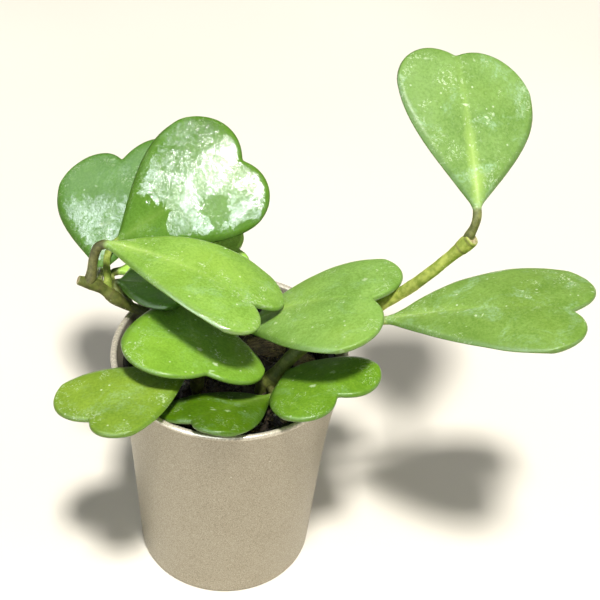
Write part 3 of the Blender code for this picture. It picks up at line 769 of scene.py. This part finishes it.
def make_stem(name, stem, seed):
    """A stem with swollen nodes, ring scars, an uneven skin and a cut end."""
    path = smooth_path(stem["points"], STEM_STEP)
    count = len(path)
    along = np.linspace(0, 1, count)
    thick, thin = (radius * 0.001 for radius in stem["radii"])
    radii = np.linspace(thick, thin, count)
    scar = np.zeros(count)
    for node in stem["nodes"]:
        distance = np.linalg.norm(path - mm(node), axis=1)
        radii = radii + NODE_SWELL * np.exp(-(distance / NODE_LENGTH) ** 2)
        scar += np.exp(-((distance - SCAR_OFFSET) / SCAR_LENGTH) ** 2)
    radii = radii + SCAR_HEIGHT * scar
    frames = path_frames(path)
    vertices, marks = [], []
    for index in range(count):
        for way in ring_ways(frames[index], STEM_SIDES):
            spot = Vector(path[index] * 220 + way * 1.3) + Vector((seed, 0, 0))
            fine = Vector(path[index] * 900 + way * 3.0)
            grow = 1 + 0.07 * noise.noise(spot) + 0.035 * noise.noise(fine)
            vertices.append(path[index] + way * radii[index] * grow)
            marks.append((along[index], min(scar[index], 1.0), 0.0))
    end = path[-1] - path[-2]
    end = end / np.linalg.norm(end)
    for inset, push, shade in CUT_RINGS:
        for way in ring_ways(frames[-1], STEM_SIDES):
            vertices.append(path[-1] + end * push + way * radii[-1] * inset)
            marks.append((1.0, 0.0, shade))
    piece = new_piece(name + "_bark", vertices, ring_faces(count + len(CUT_RINGS), STEM_SIDES),
                      stem_material(name + "_bark", stem, seed), name, 60)
    store(piece.data, "stem", "FLOAT_VECTOR", marks)


# ---- leaves ----

LEAF_SIDES = 120
BLADE_SHARES = np.concatenate((np.linspace(0.02, 0.93, 34),
                               1 - 0.07 * (1 - np.linspace(0.12, 1, 9)) ** 1.6))
PETIOLE_RINGS = 16


def leaf_angles():
    """Angles round a leaf's cross-section, closer together in the middle of each face."""
    steps = np.arange(LEAF_SIDES) * 2 * math.pi / LEAF_SIDES
    return steps + 0.25 * np.sin(2 * steps)


def side_shape(share, fullness):
    """How wide a blade is, from 0 at its base to 1 at its end."""
    return fullness * share + (3 - 2 * fullness) * share ** 2 + (fullness - 2) * share ** 3


def tip_shape(y, half_width, length, notch):
    """How far a blade reaches at y: two round lobes that meet in a notch."""
    lobe_offset = np.sqrt(2 * half_width * notch) - notch
    lobe_radius = half_width - lobe_offset
    depth = np.sqrt(y * y + NOTCH_SOFTNESS ** 2) - lobe_offset
    return length - lobe_radius + np.sqrt(np.maximum(lobe_radius ** 2 - depth ** 2, 0.0))


def bend_blade(x, y, z, leaf):
    """Bends and twists the flat blade, z being the height above its mid surface."""
    length = leaf["length"] * 0.001
    turn = math.radians(leaf["droop"] or 1e-3) / length
    angle = turn * x
    along, down = np.sin(angle) / turn, (1 - np.cos(angle)) / turn
    cup = np.radians(leaf["cup"] + leaf["curl"] * (x / length) ** 2) / CUP_HALF_WIDTH
    cup = np.where(np.abs(cup) < 1e-3, 1e-3, cup)
    tilt = cup * y
    across = np.sin(tilt) / cup + z * np.sin(tilt)
    rise = z * np.cos(tilt) - (1 - np.cos(tilt)) / cup
    twist = math.radians(leaf["twist"]) * x / length
    across, rise = (across * np.cos(twist) - rise * np.sin(twist),
                    across * np.sin(twist) + rise * np.cos(twist))
    return np.stack((along + rise * np.sin(angle), across, rise * np.cos(angle) - down), axis=-1)


def blade_axes(leaf):
    """The blade's directions: along it, to its left and up from its face."""
    heading, pitch, roll = (math.radians(leaf[key]) for key in ("heading", "pitch", "roll"))
    along = np.array((math.cos(heading) * math.cos(pitch), math.sin(heading) * math.cos(pitch),
                      math.sin(pitch)))
    level = np.array((-math.sin(heading), math.cos(heading), 0.0))
    above = np.cross(along, level)
    left = level * math.cos(roll) + above * math.sin(roll)
    up = above * math.cos(roll) - level * math.sin(roll)
    return along, left, up


def make_blade(leaf, seed):
    """Points, material marks and rim distance of the blade, ring by ring from base to tip."""
    length, width, notch = (leaf[key] * 0.001 for key in ("length", "width", "notch"))
    stalk = leaf["petiole"] * 0.001
    angles = leaf_angles()[None, :]
    share = BLADE_SHARES[:, None]
    across = np.cos(angles)
    half = width / 2 * (1 + leaf["uneven"] * np.sign(np.round(across, 9)))
    reach = tip_shape(half * across, half, length, notch)
    spread = np.hypot(half * side_shape(share, leaf["fullness"]), stalk)
    narrow = np.clip(across / TAPER_START, 0, 1)
    spread = spread * (1 - leaf["taper"] * narrow * share ** 3)
    x = share * reach
    y = across * spread
    x = x + leaf["skew"] * y * x / length
    gap = np.minimum((1 - np.abs(across)) * spread, (1 - share) * reach)
    rounded = np.sqrt(1 - (1 - np.minimum(gap, EDGE_ROUND) / EDGE_ROUND) ** 2)
    flat = np.minimum(1.0, share / STALK_SHARE)
    flat = flat * flat * (3 - 2 * flat)
    face = np.sign(np.round(np.sin(angles), 9))
    swell = 1 + BASE_SWELL * np.exp(-(share / BASE_SWELL_SHARE) ** 2)
    z = face * ((1 - flat) * stalk * np.abs(np.sin(angles))
                + flat * BLADE_THICKNESS / 2 * swell * rounded)
    hold = np.minimum(1.0, share / HOLD_SHARE)
    dent = leaf["crease"] * 0.001 * np.exp(-np.abs(y) / CREASE_WIDTH) * hold * (1.1 - share)
    keel = KEEL_HEIGHT * np.exp(-(y / KEEL_WIDTH) ** 2) * (1 - share) * hold
    keel = np.where(face < 0, keel, 0.0)
    spots = np.stack(np.broadcast_arrays(x, y, 0 * x), axis=-1).reshape(-1, 3)
    sway = roughen(spots, 55, leaf["wave"] * 0.001, seed) + roughen(spots, 160, 0.00012, seed + 9)
    margin = leaf["margin"] * 0.001 * np.exp(-gap / MARGIN_WIDTH) * hold
    z = z - dent - keel - margin + sway.reshape(x.shape) * hold
    points = bend_blade(x, y, z, leaf) @ np.array(blade_axes(leaf)) + mm(leaf["base"])
    marks = np.stack(np.broadcast_arrays(x / length, y, face), axis=-1)
    return points, marks, gap


def make_petiole(leaf, seed):
    """Rings of the stalk, from inside the stem to the base of the blade."""
    along, left, _ = blade_axes(leaf)
    foot, base = mm(leaf["foot"]), mm(leaf["base"])
    reach = leaf["sweep"] * np.linalg.norm(base - foot)
    first, second = foot + 0.35 * (base - foot), base - reach * along
    t = np.linspace(0, 1, PETIOLE_RINGS)[:, None]
    path = ((1 - t) ** 3 * foot + 3 * t * (1 - t) ** 2 * first + 3 * t * t * (1 - t) * second
            + t ** 3 * base)
    tangents = np.gradient(path, axis=0)
    tangents[-1] = along
    frames = path_frames(path[::-1], left, tangents[::-1])[::-1]
    distance = np.concatenate(([0], np.cumsum(np.linalg.norm(np.diff(path, axis=0), axis=1))))
    angles = leaf_angles()
    points, marks = [], []
    for index in range(PETIOLE_RINGS):
        side, above = frames[index]
        fading = min(1.0, (PETIOLE_RINGS - 1 - index) / 3)
        swell = 1 + fading * 0.25 * math.exp(-((distance[index] - 0.003) / 0.003) ** 2)
        ways = np.cos(angles)[:, None] * side + np.sin(angles)[:, None] * above
        uneven = 1 + roughen(path[index] * 250 + ways * 0.9, 1.0, 0.08, seed)
        if index == PETIOLE_RINGS - 1:
            uneven = np.ones(LEAF_SIDES)
        radius = leaf["petiole"] * 0.001 * swell * uneven[:, None]
        points.append(path[index] + ways * radius)
        share = (distance[index] - distance[-1]) / (leaf["length"] * 0.001)
        marks.append(np.stack((np.full(LEAF_SIDES, min(share, -0.001)), np.zeros(LEAF_SIDES),
                               np.ones(LEAF_SIDES)), axis=-1))
    return np.array(points), np.array(marks)


def make_leaf(name, leaf, seed):
    """A leaf in one piece, from its stalk's foot to its two lobes."""
    leaf = {**LEAF_DEFAULTS, **leaf}
    stalk_points, stalk_marks = make_petiole(leaf, seed)
    blade_points, blade_marks, gap = make_blade(leaf, seed)
    points = np.concatenate((stalk_points, blade_points))
    marks = np.concatenate((stalk_marks, blade_marks)).reshape(-1, 3)
    edge = np.concatenate((np.full(stalk_points.shape[:2], RIM_FAR), gap)).reshape(-1)
    mesh = bpy.data.meshes.new(name + "_blade")
    mesh.from_pydata([tuple(p) for p in points.reshape(-1, 3)], [],
                     ring_faces(len(points), LEAF_SIDES, end_cap=False))
    store(mesh, "blade", "FLOAT_VECTOR", marks)
    store(mesh, "edge", "FLOAT", np.minimum(edge, RIM_FAR))
    turn_out(mesh, MERGE_DISTANCE)
    add_piece(name + "_blade", mesh, leaf_material(name + "_skin", leaf, seed), name)


# ---- soil ----

def soil_height(x, y):
    bumps = (math.sin(310 * x + 0.6) * math.cos(270 * y - 0.4)
             + 0.6 * math.sin(520 * x - 410 * y + 1.3) + 0.4 * math.cos(690 * y + 350 * x))
    return SOIL_TOP + SOIL_BUMP * bumps


def make_soil():
    """Crumbly soil surface over a plain body."""
    inset = NURSERY_WALL + SOIL_GAP
    rim = nursery_radius(SOIL_TOP - NURSERY_FOOT) - inset
    bottom = NURSERY_FOOT_RADIUS - 2 * NURSERY_WALL - SOIL_GAP
    rows = [(bottom, SOIL_FOOT), (nursery_radius(SOIL_WAIST_IN_POT) - inset, SOIL_WAIST)]
    vertices = [(0, 0, SOIL_FOOT)]
    for radius, height in rows:
        vertices += circle(radius, height, SOIL_SIDES)
    for ring in range(SOIL_RINGS):
        for x, y, _level in circle(rim * (1 - ring / SOIL_RINGS), 0, SOIL_SIDES):
            spot = Vector((x, y, 0))
            crumbs = noise.fractal(spot * 420, 0.9, 2.1, 4) * 0.0011
            lumps = noise.noise(spot * 130) * 0.0014
            vertices.append((x, y, soil_height(x, y) + crumbs + lumps))
    vertices.append((0, 0, soil_height(0, 0)))
    faces = axis_faces(len(rows) + SOIL_RINGS, SOIL_SIDES)
    new_piece("soil_body", vertices, faces, soil_material(), "soil")


def scatter(name, count, sizes, flatness, seed, material):
    """Many small rough grains on the soil, as one piece; sizes are widths in millimetres."""
    random = np.random.default_rng(seed)
    body = bmesh.new()
    places = []
    while len(places) < count:
        x, y = random.uniform(-GRAIN_REACH, GRAIN_REACH, 2)
        if math.hypot(x, y) < GRAIN_REACH:
            places.append(np.array((x, y, 0.0)))
    for place in places:
        size = random.uniform(*sizes) * 0.0005
        turn = Matrix.Rotation(random.uniform(0, ANY_TURN), 4, "Z")
        tilt = Matrix.Rotation(random.uniform(-0.6, 0.6), 4, "X")
        squash = Matrix.Diagonal((size * random.uniform(0.8, 1.6), size,
                                  size * random.uniform(*flatness), 1))
        height = soil_height(place[0], place[1]) + size * 0.35
        grains = bmesh.ops.create_icosphere(body, subdivisions=2, radius=1.0)["verts"]
        shift = random.uniform(-50, 50)
        for vertex in grains:
            bump = noise.noise(vertex.co * 1.3 + Vector((shift, 0, 0)))
            vertex.co = vertex.co * (1 + 0.55 * bump)
        move = Matrix.Translation((place[0], place[1], height)) @ turn @ tilt @ squash
        bmesh.ops.transform(body, matrix=move, verts=grains)
    mesh = bpy.data.meshes.new(name)
    body.to_mesh(mesh)
    body.free()
    add_piece(name, mesh, material)


def strand(path, radius):
    """Vertices and faces of a thin fibre."""
    path = np.array(path)
    frames = path_frames(path, np.array((0.3, 0.2, 1.0)))
    vertices = []
    for point, frame, share in zip(path, frames, np.linspace(-1, 1, len(path))):
        width = radius * (1 - 0.6 * abs(share) ** 3)
        vertices += [point + width * way for way in ring_ways(frame, FIBRE_SIDES)]
    return vertices, ring_faces(len(path), FIBRE_SIDES)


def make_fibres(name, paths, radii, material):
    """Many thin fibres, as one piece."""
    vertices, faces = [], []
    for path, radius in zip(paths, radii):
        more, sheets = strand(path, radius)
        start = len(vertices)
        vertices += more
        faces += [tuple(start + index for index in face) for face in sheets]
    new_piece(name, vertices, faces, material)


def make_chunk(name, chunk):
    """A lump of coir husk with fibres combed along it."""
    random = np.random.default_rng(chunk["seed"])
    material = husk_material(chunk["seed"])
    half = mm(chunk["half"])
    turn = Matrix.Rotation(math.radians(chunk["turn"]), 3, "Z")
    centre = Vector(mm(chunk["centre"]))

    def surface(way, lift=0.0):
        spot = Vector(way).normalized()
        bump = 0.94 + 0.16 * noise.noise(spot * 1.6 + Vector((chunk["seed"], 0, 0)))
        bump += 0.05 * noise.noise(spot * 7)
        place = Vector((spot[axis] * (half[axis] * bump + lift) for axis in range(3)))
        return centre + turn @ place

    body = bmesh.new()
    bmesh.ops.create_icosphere(body, subdivisions=5, radius=1.0)
    for vertex in body.verts:
        vertex.co = surface(vertex.co)
    mesh = bpy.data.meshes.new(name + "_coir")
    body.to_mesh(mesh)
    body.free()
    add_piece(name + "_coir", mesh, material, name)
    paths, radii = [], []
    for _ in range(chunk["fibres"]):
        start = random.uniform(-1.0, 0.2)
        length = random.uniform(0.6, 1.3)
        tilt, slope = random.uniform(0.1, math.pi - 0.1), random.uniform(-0.25, 0.25)
        lift = random.uniform(0.0, 0.0006)
        path = []
        for share in np.linspace(0, 1, 9):
            x = max(-0.96, min(0.96, start + length * share))
            wide = math.sqrt(1 - x * x)
            angle = tilt + slope * share + 0.1 * math.sin(5 * share + start * 9)
            spot = (x, wide * math.cos(angle), wide * math.sin(angle))
            path.append(surface(spot, lift))
        paths.append(path)
        radii.append(random.uniform(0.00008, 0.0002))
    make_fibres(name + "_fibres", paths, radii, material)


def make_soil_fibres():
    """Loose fibres lying on the soil."""
    random = np.random.default_rng(21)
    paths, radii = [], []
    for _ in range(70):
        x, y = random.uniform(-0.03, 0.03, 2)
        way, bend = random.uniform(0, ANY_TURN), random.uniform(-150, 150)
        path = []
        for _step in range(10):
            x, y = x + 0.0007 * math.cos(way), y + 0.0007 * math.sin(way)
            way += bend * 0.0007
            if math.hypot(x, y) > FIBRE_REACH:
                break
            path.append((x, y, soil_height(x, y) + random.uniform(0.0008, 0.0013)))
        if len(path) > 4:
            paths.append(path)
            radii.append(random.uniform(0.00007, 0.00014))
    make_fibres("soil_fibres", paths, radii,
                crumb_material("fibre_brown", (0.10, 0.068, 0.03), (0.34, 0.25, 0.12)))


# ---- studio ----

def make_floor():
    p = Paint("floor_paper")
    colour = p.mix(p.fade(p.noise(3, 2), 0.3, 0.7), rgb(0.73, 0.685, 0.60), rgb(0.77, 0.725, 0.64))
    material = p.finish(colour, 0.65, p.noise(900, 2), depth=0.0001, strength=0.1)
    bpy.ops.mesh.primitive_plane_add(size=FLOOR_SIZE, location=(0, 0, 0))
    floor = bpy.context.object
    floor.name = "studio_floor"
    floor.data.materials.append(material)


def add_light(name, azimuth, elevation, distance, size, power, colour, gloss=False):
    """An area light that faces the plant."""
    turn, lift = math.radians(azimuth), math.radians(elevation)
    way = Vector((math.sin(turn) * math.cos(lift), -math.cos(turn) * math.cos(lift),
                  math.sin(lift)))
    lamp = bpy.data.lights.new(name, "AREA")
    lamp.shape = "RECTANGLE"
    lamp.size, lamp.size_y = size
    lamp.energy = power
    lamp.color = colour
    light = bpy.data.objects.new(name, lamp)
    light.location = Vector(LIGHT_AIM) + way * distance
    light.rotation_euler = (-way).to_track_quat("-Z", "Y").to_euler()
    light.visible_diffuse = not gloss
    bpy.context.collection.objects.link(light)


def make_lights():
    """A world that is brighter above and plain pale to the camera, and the area lights."""
    world = bpy.data.worlds.new("studio")
    world.use_nodes = True
    sky = Nodes(world.node_tree)
    height = sky.split(sky.node("ShaderNodeTexCoord", {}).outputs["Generated"])[2]
    seen = sky.node("ShaderNodeLightPath", {}).outputs["Is Camera Ray"]
    background = sky.tree.nodes["Background"]
    strength = sky.most(sky.fade(height, 0.3, 1.0, WORLD_LOW, WORLD_HIGH), seen)
    sky.link(strength, background.inputs["Strength"])
    sky.link(rgb(0.90, 0.91, 0.90), background.inputs["Color"])
    bpy.context.scene.world = world
    bpy.context.scene.view_settings.view_transform = "Standard"
    for name, light in LIGHTS.items():
        add_light(name, **light)


def make_camera():
    lens = bpy.data.cameras.new("camera")
    lens.lens = CAMERA_LENS
    lens.sensor_width = CAMERA_SENSOR
    camera = bpy.data.objects.new("camera", lens)
    pitch, roll = math.radians(CAMERA_PITCH), math.radians(CAMERA_ROLL)
    right = np.array((1.0, 0.0, 0.0))
    above = np.array((0.0, math.sin(pitch), math.cos(pitch)))
    ahead = np.array((0.0, math.cos(pitch), -math.sin(pitch)))
    x = right * math.cos(roll) + above * math.sin(roll)
    y = above * math.cos(roll) - right * math.sin(roll)
    turn = Matrix((x, y, -ahead)).transposed().to_4x4()
    camera.matrix_world = Matrix.Translation(CAMERA_PLACE) @ turn
    bpy.context.collection.objects.link(camera)
    bpy.context.scene.camera = camera


def main():
    make_camera()
    make_floor()
    make_lights()
    make_cover_pot()
    make_nursery_pot()
    make_soil()
    for seed, (name, stem) in enumerate(STEMS.items()):
        make_stem(name, stem, seed * 3.1)
    for seed, (name, leaf) in enumerate(LEAVES.items()):
        make_leaf(name, leaf, 1.0 + seed * 2.7)
    for name, chunk in CHUNKS.items():
        make_chunk(name, chunk)
    make_soil_fibres()
    peat = crumb_material("crumb_peat", (0.014, 0.009, 0.005), (0.085, 0.058, 0.03))
    bark = crumb_material("crumb_bark", (0.07, 0.045, 0.02), (0.24, 0.165, 0.08))
    perlite = crumb_material("crumb_perlite", (0.55, 0.52, 0.45), (0.86, 0.84, 0.78))
    scatter("soil_crumbs", 520, (0.8, 2.6), (0.6, 1.0), 5, peat)
    scatter("soil_bark_bits", 90, (1.8, 4.2), (0.25, 0.5), 6, bark)
    scatter("soil_perlite", 34, (0.9, 2.4), (0.7, 1.0), 7, perlite)


main()
